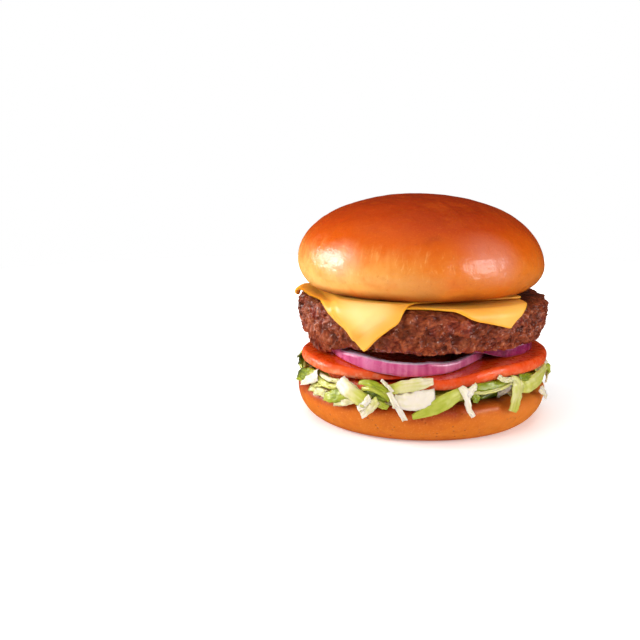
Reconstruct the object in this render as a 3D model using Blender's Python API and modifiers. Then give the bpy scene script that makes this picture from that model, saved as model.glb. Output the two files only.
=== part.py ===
# Cheeseburger: heel of the bun, shredded lettuce, two slices of tomato, two onion rings,
# a beef patty, two slices of cheese and the crown of the bun. Metres, +Z up, front at -Y.
# The origin is the middle of the flat underside of the heel.
import math
import random

import bmesh
import bpy
from mathutils import Vector, noise

# Clearance kept between neighbouring pieces
GAP = 0.0003
# Clearance between pieces bent over each other, whose facets differ
BEND_GAP = 0.0009

# Heel of the bun
HEEL_RADIUS = 0.0568
HEEL_BASE_RADIUS = 0.0456
HEEL_WIDEST_Z = 0.0135
HEEL_TOP_Z = 0.0175
HEEL_EDGE = 0.0045

# Shredded lettuce
LETTUCE_BASE_Z = HEEL_TOP_Z + GAP
LETTUCE_TOP_Z = 0.0300
LETTUCE_CORE_RADIUS = 0.0500
CORE_ROWS = 9
CORE_MARGIN = 0.0080
CORE_EDGE_START = 0.0450
SHRED_COUNT = 34
SHRED_THICKNESS = 0.0011
SHRED_WIDTHS = (0.0034, 0.0075)
SHRED_START = 0.0450
SHRED_REACHES = (0.0585, 0.0602)
SHRED_FALLS = (0.0, 0.002, 0.004, 0.006, 0.010)
SHRED_TIP_TURN = math.radians(75.0)
SHRED_STEPS = 5
SHRED_SEED = 1
SHRED_MARGIN = 0.0050

# Tomato slices: centre, radius, thickness, how much thicker at the right and from where to where
TOMATO_LEFT = (-0.0195, -0.0120, 0.0340, 0.0049, -0.0020, -0.034, -0.012)
TOMATO_RIGHT = (0.0068, -0.0040, 0.0500, 0.0042, 0.0009, 0.005, 0.025)
TOMATO_RIGHT_Z = 0.0194
TOMATO_LEFT_Z = 0.0275
TOMATO_LEFT_DROOP = 0.0021

# Onion rings: centre, outer radius, height, how much lower at both sides
RING_FRONT = (-0.0055, -0.0125, 0.0360, 0.0058, 0.0017)
RING_BACK = (0.0180, -0.0060, 0.0320, 0.0046, 0.0)
RING_WALL = 0.0042
RING_BULGE = 0.0005
RING_FRONT_Z = 0.0281
RING_BACK_Z = 0.0334
RING_BACK_RISE = 0.0030

# Beef patty
PATTY_RADIUS = 0.0560
PATTY_BOTTOM_Z = 0.0385
PATTY_TOP_Z = 0.0566
PATTY_ROUNDING = 0.0075
PATTY_FLARE = 0.0014
PATTY_HOLLOW = 0.0030
PATTY_HOLLOW_RADIUS = 0.0463
PATTY_DROOP = 0.0008
PATTY_LOBE = 0.0050
PATTY_LOBE_DEGREES = 212.0
PATTY_LOBE_SPREAD = 22.0
CRAG_DEPTH = 0.0016

# Cheese slices: side, direction of the front edge in degrees, its left corner on the flattened sheet
CHEESE_UPPER = (0.0830, 23.0, (-0.0288, -0.0686))
CHEESE_LOWER = (0.0690, 15.0, (-0.0261, -0.0687))
# How far each front edge is drawn in, between which shares of its length, and the right edge's flare
UPPER_DRAW = (0.0105, 0.24, 0.42, 0.0)
LOWER_DRAW = (0.0120, 0.78, 0.35, 0.0090)
FLARE_END = 0.28
CHEESE_THICKNESS = 0.00095
FLAP_THICKNESS = 0.0019
CHEESE_GAP = 0.0006
CHEESE_STEPS = 32
DRAPE_RADIUS = 0.0577
DRAPE_CORNER = 0.0030

# Crown of the bun
CROWN_RADIUS = 0.0560
CROWN_WIDEST_Z = 0.0705
CROWN_RISE = 0.0306
CROWN_DROP = 0.0139
CROWN_UNDERSIDE_Z = 0.0596
CROWN_SHOULDER = 0.0380
CROWN_LEAN = math.radians(1.0)
CROWN_SHIFT_X = -0.0010

SIDES = 44


def clear_scene():
    for obj in list(bpy.data.objects):
        bpy.data.objects.remove(obj, do_unlink=True)


def new_collection(name):
    collection = bpy.data.collections.new(name)
    bpy.context.scene.collection.children.link(collection)
    return collection


def make_material(name, colour, roughness):
    material = bpy.data.materials.new(name)
    material.use_nodes = True
    shader = material.node_tree.nodes["Principled BSDF"]
    shader.inputs["Base Color"].default_value = (*colour, 1.0)
    shader.inputs["Roughness"].default_value = roughness
    shader.inputs["Metallic"].default_value = 0.0
    return material


def smoothstep(low, high, value):
    t = min(1.0, max(0.0, (value - low) / (high - low)))
    return t * t * (3.0 - 2.0 * t)


def mesh_object(name, mesh, collection, material=None):
    obj = bpy.data.objects.new(name, mesh)
    collection.objects.link(obj)
    if material:
        mesh.materials.append(material)
    mesh.shade_smooth()
    return obj


def applied(obj):
    """Replace an object's mesh by its evaluated one and drop the modifiers."""
    depsgraph = bpy.context.evaluated_depsgraph_get()
    mesh = bpy.data.meshes.new_from_object(obj.evaluated_get(depsgraph))
    obj.modifiers.clear()
    obj.data = mesh
    return obj


def turned(name, profile, collection, material=None, closed=False, sides=SIDES):
    """Turn a profile of (radius, height) pairs about Z with a Screw modifier."""
    mesh = bpy.data.meshes.new(name)
    form = bmesh.new()
    points = [form.verts.new((r, 0.0, z)) for r, z in profile]
    for first, second in zip(points, points[1:]):
        form.edges.new((first, second))
    if closed:
        form.edges.new((points[-1], points[0]))
    form.to_mesh(mesh)
    form.free()
    obj = mesh_object(name, mesh, collection, material)
    screw = obj.modifiers.new("turn", "SCREW")
    screw.steps = sides
    screw.render_steps = sides
    screw.use_merge_vertices = True
    screw.merge_threshold = 0.00005
    applied(obj)
    obj.data.shade_smooth()
    return obj


def reshape(obj, rule):
    """Move every vertex to rule(position)."""
    for vertex in obj.data.vertices:
        vertex.co = rule(vertex.co.copy())
    obj.data.update()


def arc(centre_r, centre_z, radius_r, radius_z, start, end, steps, power=2.0):
    """Points of a superellipse arc, with angles in degrees."""
    points = []
    for i in range(steps + 1):
        t = math.radians(start + (end - start) * i / steps)
        c, s = math.cos(t), math.sin(t)
        r = centre_r + radius_r * math.copysign(abs(c) ** (2.0 / power), c)
        z = centre_z + radius_z * math.copysign(abs(s) ** (2.0 / power), s)
        points.append((max(r, 0.0), z))
    return points


def waves(angle, seed):
    """A smooth closed wave round a piece, between about -1 and 1."""
    return (math.sin(2 * angle + seed) + 0.7 * math.sin(3 * angle + 2.1 * seed)
            + 0.5 * math.sin(5 * angle + 3.7 * seed)) / 2.2


def heel_of_bun(collection):
    material = make_material("bun_crust", (0.75, 0.17, 0.025), 0.42)
    top_edge = arc(HEEL_RADIUS - HEEL_EDGE, HEEL_WIDEST_Z, HEEL_EDGE, HEEL_TOP_Z - HEEL_WIDEST_Z, 90, 0, 4)
    side = arc(HEEL_BASE_RADIUS, HEEL_WIDEST_Z, HEEL_RADIUS - HEEL_BASE_RADIUS, HEEL_WIDEST_Z,
               -8, -90, 6, 1.8)
    profile = [(0.0, HEEL_TOP_Z), (0.03, HEEL_TOP_Z)] + top_edge + side + [(0.0, 0.0)]
    heel = turned("bun_bottom", profile, collection, material)

    def uneven(p):
        angle = math.atan2(p.y, p.x)
        share = smoothstep(0.040, HEEL_RADIUS, math.hypot(p.x, p.y)) * smoothstep(0.0, 0.006, p.z)
        p.xy *= 1.0 + 0.007 * share * waves(angle, 0.8)
        return p

    reshape(heel, uneven)
    return heel


def tomato_right_base(x, y):
    """Height of the underside of the right slice, which sinks into the lettuce at its front left."""
    across = 0.0045 * smoothstep(-0.014, 0.005, x) + 0.0040 * smoothstep(0.008, 0.038, x)
    return TOMATO_RIGHT_Z + across + 0.0045 * smoothstep(0.020, 0.045, y)


def tomato_thickness(size, x):
    return size[3] + size[4] * smoothstep(size[5], size[6], x)


def tomato_right_top(x, y):
    return tomato_right_base(x, y) + tomato_thickness(TOMATO_RIGHT, x)


def tomato_left_base(x, y):
    """Height of the underside of the left slice, which lies on the right one and droops front and back."""
    droop = 1.0 - smoothstep(-0.046, -0.026, y) + 0.7 * smoothstep(0.002, 0.016, y)
    own = TOMATO_LEFT_Z - TOMATO_LEFT_DROOP * droop
    return max(own, tomato_right_top(x, y) + BEND_GAP)


def tomato_slice(name, size, base, seed, collection, material):
    """A round slice with a rounded rim, laid on a bent surface."""
    x, y, radius, thickness = size[:4]
    half = thickness / 2
    rim = half * 0.8
    edge = arc(radius - rim, 0.0, rim, half, 90, -90, 4, 2.3)
    rows = [radius * share for share in (0.35, 0.7)]
    profile = [(0.0, half)] + [(r, half) for r in rows] + edge
    profile += [(r, -half) for r in reversed(rows)] + [(0.0, -half)]
    piece = turned(name, profile, collection, material)

    def laid(p):
        angle = math.atan2(p.y, p.x)
        p.xy *= 1.0 + 0.012 * waves(angle, seed)
        p.x += x
        p.y += y
        share = (p.z + half) / thickness
        p.z = base(p.x, p.y) + share * tomato_thickness(size, p.x)
        return p

    reshape(piece, laid)
    return piece


def tomato_slices(collection):
    material = make_material("tomato", (0.70, 0.055, 0.008), 0.25)
    for name, size, base, seed in (("tomato_slice_left", TOMATO_LEFT, tomato_left_base, 1.9),
                                   ("tomato_slice_right", TOMATO_RIGHT, tomato_right_base, 4.2)):
        tomato_slice(name, size, base, seed, collection, material)


def ring_front_base(x, y):
    """The front ring lies on both slices and dips past the left one's rim."""
    on_left = tomato_left_base(x, y) + tomato_thickness(TOMATO_LEFT, x) + BEND_GAP
    on_right = tomato_right_top(x, y) + BEND_GAP
    low = max(RING_FRONT_Z, on_right)
    later = 0.0035 * smoothstep(-0.030, 0.0, y)
    return low + (max(on_left, low) - low) * (1.0 - smoothstep(-0.010, -0.003, x - later))


def ring_back_base(x, y):
    """The back ring lies on the front one, and on the right slice at its right."""
    return RING_BACK_Z + RING_BACK_RISE * (1.0 - smoothstep(0.024, 0.038, x))


def onion_ring(name, size, base, seed, collection, material):
    """A barrel-sided ring cut flat above and below."""
    x, y, radius, height, loss = size
    half = height / 2
    edge = radius - RING_BULGE
    outer = [(edge, half), (radius, half * 0.35), (radius, -half * 0.35), (edge, -half)]
    inner = [(edge - RING_WALL, -half), (radius - RING_WALL, 0.0), (edge - RING_WALL, half)]
    ring = turned(name, outer + inner, collection, material, closed=True)

    def laid(p):
        angle = math.atan2(p.y, p.x)
        p.xy *= 1.0 + 0.02 * waves(angle, seed)
        p.x += x
        p.y += y
        share = (p.z + half) / height
        sides = smoothstep(0.002, 0.016, p.x) + 1.0 - smoothstep(-0.036, -0.022, p.x)
        p.z = base(p.x, p.y) + share * (height - loss * sides)
        return p

    reshape(ring, laid)
    return ring


def onion_rings(collection):
    material = make_material("red_onion", (0.55, 0.08, 0.28), 0.3)
    onion_ring("onion_ring_front", RING_FRONT, ring_front_base, 0.4, collection, material)
    onion_ring("onion_ring_back", RING_BACK, ring_back_base, 2.6, collection, material)


def crags(p, scale, depth):
    """Rough crumbly relief from three octaves of noise."""
    total = 0.0
    weight = 1.0
    point = p * scale
    for _ in range(3):
        total += weight * (0.5 - abs(noise.noise(point)))
        weight *= 0.55
        point = point * 2.1 + Vector((3.1, 1.7, 5.3))
    return depth * (total - 0.45) * 1.6


def patty_droop(radius, angle):
    """How far the rim hangs below the flat underside: a little all round, and in a lobe at the left."""
    away = (angle - math.radians(PATTY_LOBE_DEGREES)) % (2 * math.pi)
    away = math.degrees(min(away, 2 * math.pi - away))
    lobe = PATTY_LOBE * (1.0 - smoothstep(0.0, PATTY_LOBE_SPREAD, away))
    return PATTY_DROOP * smoothstep(0.0515, 0.0530, radius) + lobe * smoothstep(0.0490, 0.0515, radius)


def beef_patty(collection):
    material = make_material("beef", (0.16, 0.045, 0.022), 0.55)
    top = PATTY_TOP_Z
    bottom = PATTY_BOTTOM_Z
    middle = (top + bottom) / 2
    half = (top - bottom) / 2
    side = arc(PATTY_RADIUS - PATTY_ROUNDING, middle, PATTY_ROUNDING, half, 90, -90, 11, 2.9)
    hollow = bottom + PATTY_HOLLOW
    profile = [(0.0, top), (0.025, top), (0.040, top)] + side
    profile += [(PATTY_HOLLOW_RADIUS + 0.0022, bottom + 0.0006), (PATTY_HOLLOW_RADIUS, hollow)]
    profile += [(0.025, hollow), (0.0, hollow)]
    patty = turned("patty", profile, collection, material, sides=76)

    def crumbly(p):
        radius = math.hypot(p.x, p.y)
        angle = math.atan2(p.y, p.x)
        share = smoothstep(0.0475, 0.0530, radius)
        outward = Vector((p.x, p.y, 0.0)).normalized() if radius > 0.001 else Vector((0.0, 0.0, 0.0))
        swell = crags(p, 150.0, CRAG_DEPTH) + 0.0004 * waves(angle, 2.9)
        swell += PATTY_FLARE * (p.z - middle) / half
        low = 1.0 - smoothstep(bottom, bottom + 0.008, p.z)
        p.z += share * low * 0.0007 * waves(angle * 2, 0.3)
        p.z -= low * patty_droop(radius, angle)
        p += outward * share * swell
        p.xy *= min(1.0, (DRAPE_RADIUS - GAP) / max(GAP, math.hypot(p.x, p.y)))
        return p

    reshape(patty, crumbly)
    return patty


def drape(u, v, base, lift):
    """Lay a point of a flat sheet on the patty, over its rounded edge and down its side."""
    reach = math.hypot(u, v)
    direction = Vector((u, v, 0.0)) / max(reach, 1e-6)
    flat_end = DRAPE_RADIUS - DRAPE_CORNER
    corner = DRAPE_CORNER + lift
    bend = max(0.0, reach - flat_end)
    turn = min(math.pi / 2, bend / DRAPE_CORNER)
    over = max(0.0, bend - DRAPE_CORNER * math.pi / 2)
    r = min(reach, flat_end) + corner * math.sin(turn)
    z = base + lift - corner * (1.0 - math.cos(turn)) - over
    return direction * r + Vector((0.0, 0.0, z))


def cheese_thickness(reach):
    """The sheet is pressed thin under the crown and full where it hangs."""
    hang = smoothstep(0.0530, 0.0590, reach)
    return CHEESE_THICKNESS + (FLAP_THICKNESS - CHEESE_THICKNESS) * hang


def cheese_slice(name, size, layer, draw, collection, material):
    """A square sheet that hangs over the patty, with its front edge drawn in beyond a hanging corner."""
    side, edge_degrees, corner = size
    heading = math.radians(edge_degrees)
    along = Vector((math.cos(heading), math.sin(heading)))
    across = Vector((-along.y, along.x))
    base = PATTY_TOP_Z + GAP
    steps = CHEESE_STEPS
    form = bmesh.new()
    lower, upper = [], []
    for i in range(steps + 1):
        lower.append([])
        upper.append([])
        for j in range(steps + 1):
            s, t = i / steps, j / steps
            inward = draw[0] * smoothstep(draw[1], draw[2], s) * (1.0 - t) ** 3
            flare = draw[3] * s ** 3 * smoothstep(0.0, FLARE_END, t)
            flat = Vector(corner) + along * (side * s + flare) + across * (side * t + inward)
            thick = cheese_thickness(flat.length)
            lift = layer * (thick + CHEESE_GAP)
            lower[i].append(form.verts.new(drape(flat.x, flat.y, base, lift)))
            upper[i].append(form.verts.new(drape(flat.x, flat.y, base, lift + thick)))
    for i in range(steps):
        for j in range(steps):
            form.faces.new((upper[i][j], upper[i + 1][j], upper[i + 1][j + 1], upper[i][j + 1]))
            form.faces.new((lower[i][j], lower[i][j + 1], lower[i + 1][j + 1], lower[i + 1][j]))
    outline = [(k, 0) for k in range(steps)] + [(steps, k) for k in range(steps)]
    outline += [(steps - k, steps) for k in range(steps)] + [(0, steps - k) for k in range(steps)]
    for (i, j), (m, n) in zip(outline, outline[1:] + outline[:1]):
        form.faces.new((lower[i][j], lower[m][n], upper[m][n], upper[i][j]))
    form.normal_update()
    flat_turn = math.radians(0.2)
    bmesh.ops.dissolve_limit(form, angle_limit=flat_turn, verts=form.verts, edges=form.edges)
    bmesh.ops.triangulate(form, faces=form.faces)
    mesh = bpy.data.meshes.new(name)
    form.to_mesh(mesh)
    form.free()
    return mesh_object(name, mesh, collection, material)


def cheese_slices(collection):
    material = make_material("cheese", (0.95, 0.50, 0.06), 0.35)
    cheese_slice("cheese_slice_lower", CHEESE_LOWER, 0, LOWER_DRAW, collection, material)
    cheese_slice("cheese_slice_upper", CHEESE_UPPER, 1, UPPER_DRAW, collection, material)


def crown_of_bun(collection):
    material = bpy.data.materials["bun_crust"]
    dome = arc(0.0, CROWN_WIDEST_Z, CROWN_RADIUS, CROWN_RISE, 90, 0, 11, 2.08)
    overhang = CROWN_RADIUS - CROWN_SHOULDER
    under = arc(CROWN_SHOULDER, CROWN_WIDEST_Z, overhang, CROWN_DROP, 0, -90, 12, 1.84)
    lower = [p for p in under[1:] if p[1] > CROWN_UNDERSIDE_Z + 0.0004]
    lip = (lower[-1][0] - 0.0016, CROWN_UNDERSIDE_Z)
    profile = dome + lower + [lip, (0.025, CROWN_UNDERSIDE_Z), (0.0, CROWN_UNDERSIDE_Z)]
    crown = turned("bun_top", profile, collection, material, sides=52)

    def leaning(p):
        angle = math.atan2(p.y, p.x)
        share = smoothstep(CROWN_UNDERSIDE_Z, CROWN_WIDEST_Z, p.z)
        p.xy *= 1.0 + 0.006 * share * waves(angle, 5.1)
        p.z -= math.tan(CROWN_LEAN) * p.x * share
        p.x += CROWN_SHIFT_X
        return p

    reshape(crown, leaning)
    return crown


def ceiling(x, y, margin):
    """Height of the lowest thing above the lettuce, with a margin round each slice."""
    height = LETTUCE_TOP_Z
    for size, base in ((TOMATO_LEFT, tomato_left_base), (TOMATO_RIGHT, tomato_right_base)):
        if math.hypot(x - size[0], y - size[1]) < size[2] + margin:
            height = min(height, base(x - margin, y - margin), base(x, y))
    return height - GAP


def lettuce_core(collection):
    """The middle of the heap, out to where the shreds begin, hollowed under the tomato."""
    rows = [LETTUCE_CORE_RADIUS * k / CORE_ROWS for k in range(CORE_ROWS)]
    rim = (LETTUCE_BASE_Z + 0.001, LETTUCE_BASE_Z)
    profile = [(r, LETTUCE_TOP_Z) for r in rows] + [(LETTUCE_CORE_RADIUS, z) for z in rim]
    core = turned("shredded_lettuce", profile + [(0.0, LETTUCE_BASE_Z)], collection)

    def under_tomato(p):
        if p.z > LETTUCE_TOP_Z - GAP:
            p.z = ceiling(p.x, p.y, CORE_MARGIN)
        share = smoothstep(CORE_EDGE_START, LETTUCE_CORE_RADIUS, math.hypot(p.x, p.y))
        p.xy *= 1.0 + 0.02 * share * waves(math.atan2(p.y, p.x) * 3, 1.3)
        return p

    reshape(core, under_tomato)
    return core


def shred(index, rng, collection):
    """One wavy strip of leaf that leaves the core and may curl down over the rim of the heel."""
    turn = (index + 0.6 * rng.random()) * 2 * math.pi / SHRED_COUNT
    width = rng.uniform(*SHRED_WIDTHS)
    reach = rng.uniform(*SHRED_REACHES)
    fall = rng.choice(SHRED_FALLS)
    level = rng.uniform(0.25, 0.75)
    lift = SHRED_THICKNESS * rng.uniform(0.75, 1.25)
    skew = rng.uniform(-0.3, 0.3)
    form = bmesh.new()
    rings = []
    for i in range(SHRED_STEPS + 1):
        t = i / SHRED_STEPS
        radius = SHRED_START + (reach - SHRED_START) * smoothstep(0.0, 0.8, t)
        angle = turn + skew * t
        outward = Vector((math.cos(angle), math.sin(angle), 0.0))
        sideways = Vector((-math.sin(angle), math.cos(angle), 0.0))
        free = ceiling(outward.x * radius, outward.y * radius, SHRED_MARGIN) - LETTUCE_BASE_Z
        spare = max(0.0, free - 2.0 * SHRED_THICKNESS)
        drop = smoothstep(0.62, 1.0, t)
        z = LETTUCE_BASE_Z + min(lift + spare * level, free - 0.6 * SHRED_THICKNESS) - fall * drop
        tip = SHRED_TIP_TURN * drop if fall else 0.0
        roll = math.sin(2.0 * index + 3.0 * t) * min(0.45, 0.8 * spare * min(level, 1.0 - level) / width)
        normal = Vector((0.0, 0.0, 1.0)) * math.cos(tip) + outward * math.sin(tip)
        side = (sideways * math.cos(roll) + normal * math.sin(roll)).normalized()
        centre = outward * radius + Vector((0.0, 0.0, z))
        half_width = side * width / 2 * (1.0 - 0.5 * t * t)
        half_thick = normal * SHRED_THICKNESS / 2
        rings.append([form.verts.new(centre + half_width * a + half_thick * b)
                      for a, b in ((-1, -1), (1, -1), (1, 1), (-1, 1))])
    for first, second in zip(rings, rings[1:]):
        for k in range(4):
            form.faces.new((first[k], first[(k + 1) % 4], second[(k + 1) % 4], second[k]))
    form.faces.new(list(reversed(rings[0])))
    form.faces.new(rings[-1])
    bmesh.ops.triangulate(form, faces=form.faces)
    mesh = bpy.data.meshes.new("shred")
    form.to_mesh(mesh)
    form.free()
    return mesh_object("shred_%02d" % index, mesh, collection)


def keep_largest(obj):
    """Drop the loose scraps that the cuts leave."""
    form = bmesh.new()
    form.from_mesh(obj.data)
    form.verts.ensure_lookup_table()
    left = set(form.verts)
    groups = []
    while left:
        group = {left.pop()}
        front = list(group)
        while front:
            vertex = front.pop()
            for edge in vertex.link_edges:
                other = edge.other_vert(vertex)
                if other in left:
                    left.discard(other)
                    group.add(other)
                    front.append(other)
        groups.append(group)
    groups.sort(key=len)
    for group in groups[:-1]:
        bmesh.ops.delete(form, geom=list(group), context="VERTS")
    form.to_mesh(obj.data)
    form.free()


def shredded_lettuce(collection):
    material = make_material("lettuce", (0.50, 0.55, 0.10), 0.45)
    core = lettuce_core(collection)
    core.data.materials.append(material)
    shreds = new_collection("shreds")
    rng = random.Random(SHRED_SEED)
    for index in range(SHRED_COUNT):
        shred(index, rng, shreds)
    join = core.modifiers.new("join shreds", "BOOLEAN")
    join.operation = "UNION"
    join.operand_type = "COLLECTION"
    join.collection = shreds
    join.solver = "MANIFOLD"
    applied(core)
    for obj in list(shreds.objects):
        bpy.data.objects.remove(obj, do_unlink=True)
    bpy.data.collections.remove(shreds)
    keep_largest(core)
    core.data.shade_smooth()
    return core


def build_cheeseburger():
    clear_scene()
    parts = new_collection("cheeseburger")
    heel_of_bun(parts)
    shredded_lettuce(parts)
    tomato_slices(parts)
    onion_rings(parts)
    beef_patty(parts)
    cheese_slices(parts)
    crown_of_bun(parts)


build_cheeseburger()
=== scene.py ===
import math
import random

import bpy
import numpy as np
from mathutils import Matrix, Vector, noise


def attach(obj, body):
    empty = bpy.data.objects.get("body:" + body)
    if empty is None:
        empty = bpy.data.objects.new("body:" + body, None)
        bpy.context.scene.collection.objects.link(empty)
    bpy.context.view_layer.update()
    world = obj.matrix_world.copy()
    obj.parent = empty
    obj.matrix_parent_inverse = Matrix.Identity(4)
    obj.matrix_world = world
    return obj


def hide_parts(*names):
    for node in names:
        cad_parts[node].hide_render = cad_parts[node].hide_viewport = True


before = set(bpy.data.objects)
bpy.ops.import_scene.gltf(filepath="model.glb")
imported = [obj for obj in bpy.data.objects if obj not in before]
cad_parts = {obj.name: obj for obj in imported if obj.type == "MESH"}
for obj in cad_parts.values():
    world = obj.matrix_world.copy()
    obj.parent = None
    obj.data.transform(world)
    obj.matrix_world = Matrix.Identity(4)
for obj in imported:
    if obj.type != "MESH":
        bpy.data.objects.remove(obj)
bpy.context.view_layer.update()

# Stack of layers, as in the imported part
GAP = 0.0003
# Radius of the small cap where a turned form meets its axis
POLE = 0.0004
CROWN_POLE = 0.00012
# How many sides each turned form has
HEEL_SIDES = 360
CORE_SIDES = 240
TOMATO_SIDES = 300
RING_SIDES = 400
PATTY_SIDES = 840
CROWN_SIDES = 380
BEND_GAP = 0.0002
HEEL_RADIUS = 0.0568
HEEL_BASE_RADIUS = 0.0456
HEEL_WIDEST_Z = 0.0135
HEEL_TOP_Z = 0.0175
HEEL_EDGE = 0.0045
LETTUCE_BASE_Z = HEEL_TOP_Z + GAP
LETTUCE_TOP_Z = 0.0300
LETTUCE_CORE_RADIUS = 0.0500
SHRED_SEED = 7
PACKED_COUNT = 210
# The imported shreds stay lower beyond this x, where they would stand out at the left
LEFT_END_X = -0.045
LEFT_END_TOP_Z = 0.0262
# Angles between which strips hang at the sides and back, and where they come to hang lower
RIM_ANGLES = (math.radians(2.0), math.radians(168.0))
RIM_LOWER_ANGLES = (2.3, 2.7)
RIM_LOWER = 0.004
# Radii of a strip that hangs over the heel's edge, from its start to its tip
HANGING_RADII = (0.0555, 0.0585, 0.0600, 0.0598)
LYING_RADIUS = 0.0582
PACKED_RADII = (0.0500, 0.0562)
TOMATO_LEFT = (-0.0195, -0.0120, 0.0340, 0.0049, -0.0020, -0.034, -0.012)
TOMATO_RIGHT = (0.0068, -0.0040, 0.0500, 0.0042, 0.0009, 0.005, 0.025)
TOMATO_RIGHT_Z = 0.0194
TOMATO_LEFT_Z = 0.0275
TOMATO_LEFT_DROOP = 0.0021
RING_FRONT = (-0.0055, -0.0125, 0.0360, 0.0058, 0.0017)
RING_BACK = (0.0180, -0.0060, 0.0320, 0.0046, 0.0)
RING_WALL = 0.0042
RING_FRONT_Z = 0.0279
RING_BACK_Z = 0.0334
RING_BACK_RISE = 0.0030
PATTY_RADIUS = 0.0560
PATTY_BOTTOM_Z = 0.0385
PATTY_TOP_Z = 0.0566
PATTY_ROUNDING = 0.0075
PATTY_FLARE = 0.0014
PATTY_HOLLOW = 0.0030
PATTY_HOLLOW_RADIUS = 0.0463
PATTY_DROOP = 0.0008
PATTY_LOBE = 0.0056
PATTY_LOBE_DEGREES = 212.0
PATTY_LOBE_SPREAD = 22.0
CRAG_DEPTH = 0.0016
CHEESE_UPPER = (0.0830, 23.0, (-0.0288, -0.0686))
CHEESE_LOWER = (0.0690, 15.0, (-0.0261, -0.0687))
UPPER_DRAW = (0.0105, 0.24, 0.42, 0.0)
LOWER_DRAW = (0.0120, 0.78, 0.35, 0.0090)
FLARE_END = 0.28
CHEESE_THICKNESS = 0.00095
FLAP_THICKNESS = 0.0019
CHEESE_GAP = 0.0006
CHEESE_STEPS = 130
# Between these distances from the middle of the flat sheet it begins to hang and is thicker
HANG_REACHES = (0.0530, 0.0590)
DRAPE_RADIUS = 0.0577
DRAPE_CORNER = 0.0030
CROWN_RADIUS = 0.0560
CROWN_WIDEST_Z = 0.0705
CROWN_RISE = 0.0306
CROWN_DROP = 0.0139
CROWN_UNDERSIDE_Z = 0.0596
CROWN_LEAN = math.radians(1.0)
CROWN_SHIFT_X = -0.0010

# Camera at the photograph's viewing angle
CAMERA_PLACE = (0.0, -0.430, 0.1258)
CAMERA_TURN = (math.radians(79.05), 0.0, math.radians(6.23))
CAMERA_LENS = 52.875
FLOOR_RADIUS = 0.60


# Numbers and forms

def srgb(red, green, blue):
    """A colour given as it shows on screen, 0 to 255, in linear light."""
    channels = []
    for value in (red, green, blue):
        share = value / 255.0
        channels.append(share / 12.92 if share < 0.04045 else ((share + 0.055) / 1.055) ** 2.4)
    return (*channels, 1.0)


def smoothstep(low, high, value):
    t = np.clip((value - low) / (high - low), 0.0, 1.0)
    return t * t * (3.0 - 2.0 * t)


def waves(angle, seed):
    """A smooth closed wave round a piece, between about -1 and 1."""
    return (np.sin(2 * angle + seed) + 0.7 * np.sin(3 * angle + 2.1 * seed)
            + 0.5 * np.sin(5 * angle + 3.7 * seed)) / 2.2


def arc(centre_r, centre_z, radius_r, radius_z, start, end, steps, power=2.0):
    """Points of a superellipse arc, with angles in degrees."""
    t = np.radians(np.linspace(start, end, steps + 1))
    c, s = np.cos(t), np.sin(t)
    r = centre_r + radius_r * np.sign(c) * np.abs(c) ** (2.0 / power)
    z = centre_z + radius_z * np.sign(s) * np.abs(s) ** (2.0 / power)
    return np.column_stack([np.maximum(r, 0.0), z])


def evenly(profile, count):
    """Points at even steps along a profile."""
    run = np.concatenate(([0.0], np.cumsum(np.hypot(*np.diff(profile, axis=0).T))))
    places = np.linspace(0.0, run[-1], count)
    return np.column_stack([np.interp(places, run, profile[:, k]) for k in (0, 1)])


def softened(profile, passes):
    """Round the corners of a profile and keep its ends."""
    profile = profile.copy()
    for _ in range(passes):
        profile[1:-1] = (profile[:-2] + 2.0 * profile[1:-1] + profile[2:]) / 4.0
    return profile


def turned(profile, sides):
    """A grid of points, one row for each profile point and one column for each side."""
    angle = np.linspace(-math.pi, math.pi, sides, endpoint=False)
    r, z = profile[:, :1], profile[:, 1:]
    return np.stack([r * np.cos(angle), r * np.sin(angle), z + 0.0 * angle], axis=-1)


def field(points, scale, octaves=1, shift=0.0, gain=0.5):
    """Smooth noise at each point, about -1 to 1."""
    flat = points.reshape(-1, 3) * scale + shift
    total = np.zeros(len(flat))
    weight = 1.0
    for _ in range(octaves):
        total += weight * np.array([noise.noise(p) for p in flat.tolist()])
        weight *= gain
        flat = flat * 2.1 + 3.7
    return total.reshape(points.shape[:-1])


def cells(points, scale, shift=0.0):
    """Distances to the nearest and the second nearest of scattered centres."""
    flat = (points.reshape(-1, 3) * scale + shift).tolist()
    found = np.array([noise.voronoi(p)[0][:2] for p in flat])
    return found[:, 0].reshape(points.shape[:-1]), found[:, 1].reshape(points.shape[:-1])


def grid_normals(points, wrap_columns=True):
    """Unit normals of a grid of points."""
    if wrap_columns:
        across = np.roll(points, -1, axis=1) - np.roll(points, 1, axis=1)
    else:
        across = np.gradient(points, axis=1)
    along = np.gradient(points, axis=0)
    normal = np.cross(across, along)
    return normal / np.maximum(np.linalg.norm(normal, axis=-1, keepdims=True), 1e-12)


def grid_faces(rows, columns, wrap_rows, wrap_columns):
    r = np.arange(rows if wrap_rows else rows - 1)
    c = np.arange(columns if wrap_columns else columns - 1)
    r, c = np.meshgrid(r, c, indexing="ij")
    r_next, c_next = (r + 1) % rows, (c + 1) % columns
    corners = (r * columns + c, r * columns + c_next, r_next * columns + c_next, r_next * columns + c)
    return np.stack(corners, axis=-1).reshape(-1, 4)


def facing_out(vertices, faces):
    """Quads turned so that the closed form that they make has its faces pointing out."""
    a, b, c, d = (vertices[faces[:, k]] for k in range(4))
    volume = np.einsum("ij,ij->i", a, np.cross(b, c)).sum() + np.einsum("ij,ij->i", a, np.cross(c, d)).sum()
    return faces if volume > 0 else faces[:, ::-1]


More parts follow.
